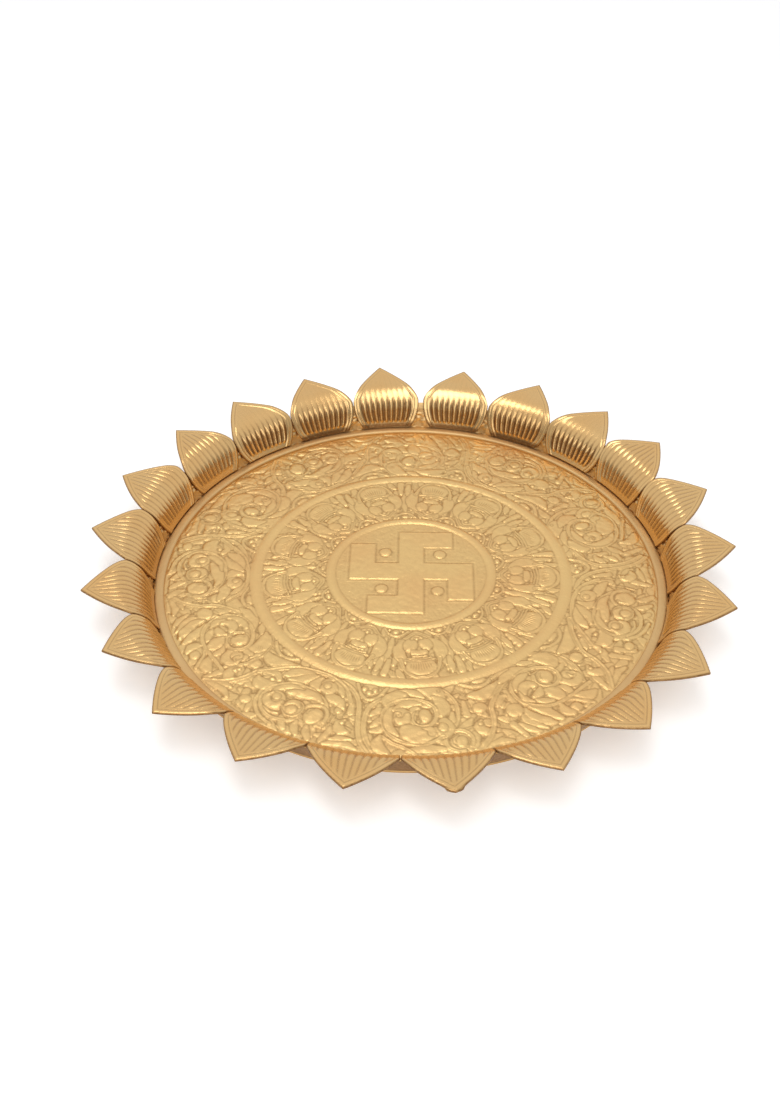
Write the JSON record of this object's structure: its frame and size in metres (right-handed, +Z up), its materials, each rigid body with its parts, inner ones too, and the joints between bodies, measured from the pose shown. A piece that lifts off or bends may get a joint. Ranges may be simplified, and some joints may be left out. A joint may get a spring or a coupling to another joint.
{
  "type": "thali plate",
  "caption": "Round brass serving and worship tray with an embossed floor, a raised border bead and a low wall that turns out into a rim of pointed, ribbed lotus petals.",
  "frame": {"origin": "middle of the flat base, on the table", "axes": "+Z up out of the tray, +X through the tip of petal_01, petals numbered counter-clockwise seen from above"},
  "size_m": [0.33, 0.3266, 0.0248],
  "materials": {
    "floor_brass": "satin embossed sheet with dark wax in the lines",
    "bead_brass": "smooth satin",
    "wall_brass": "dull satin, darker outside",
    "petal_brass": "bright polished ribs with dark grooves"
  },
  "bodies": {
    "root": {"floor_plate": "floor_brass", "border_bead": "bead_brass", "wall_band": "wall_brass", "petal_01": "petal_brass", "petal_02": "petal_brass", "petal_03": "petal_brass", "petal_04": "petal_brass", "petal_05": "petal_brass", "petal_06": "petal_brass", "petal_07": "petal_brass", "petal_08": "petal_brass", "petal_09": "petal_brass", "petal_10": "petal_brass", "petal_11": "petal_brass", "petal_12": "petal_brass", "petal_13": "petal_brass", "petal_14": "petal_brass", "petal_15": "petal_brass", "petal_16": "petal_brass", "petal_17": "petal_brass", "petal_18": "petal_brass", "petal_19": "petal_brass", "petal_20": "petal_brass", "petal_21": "petal_brass", "petal_22": "petal_brass"}
  },
  "joints": []
}
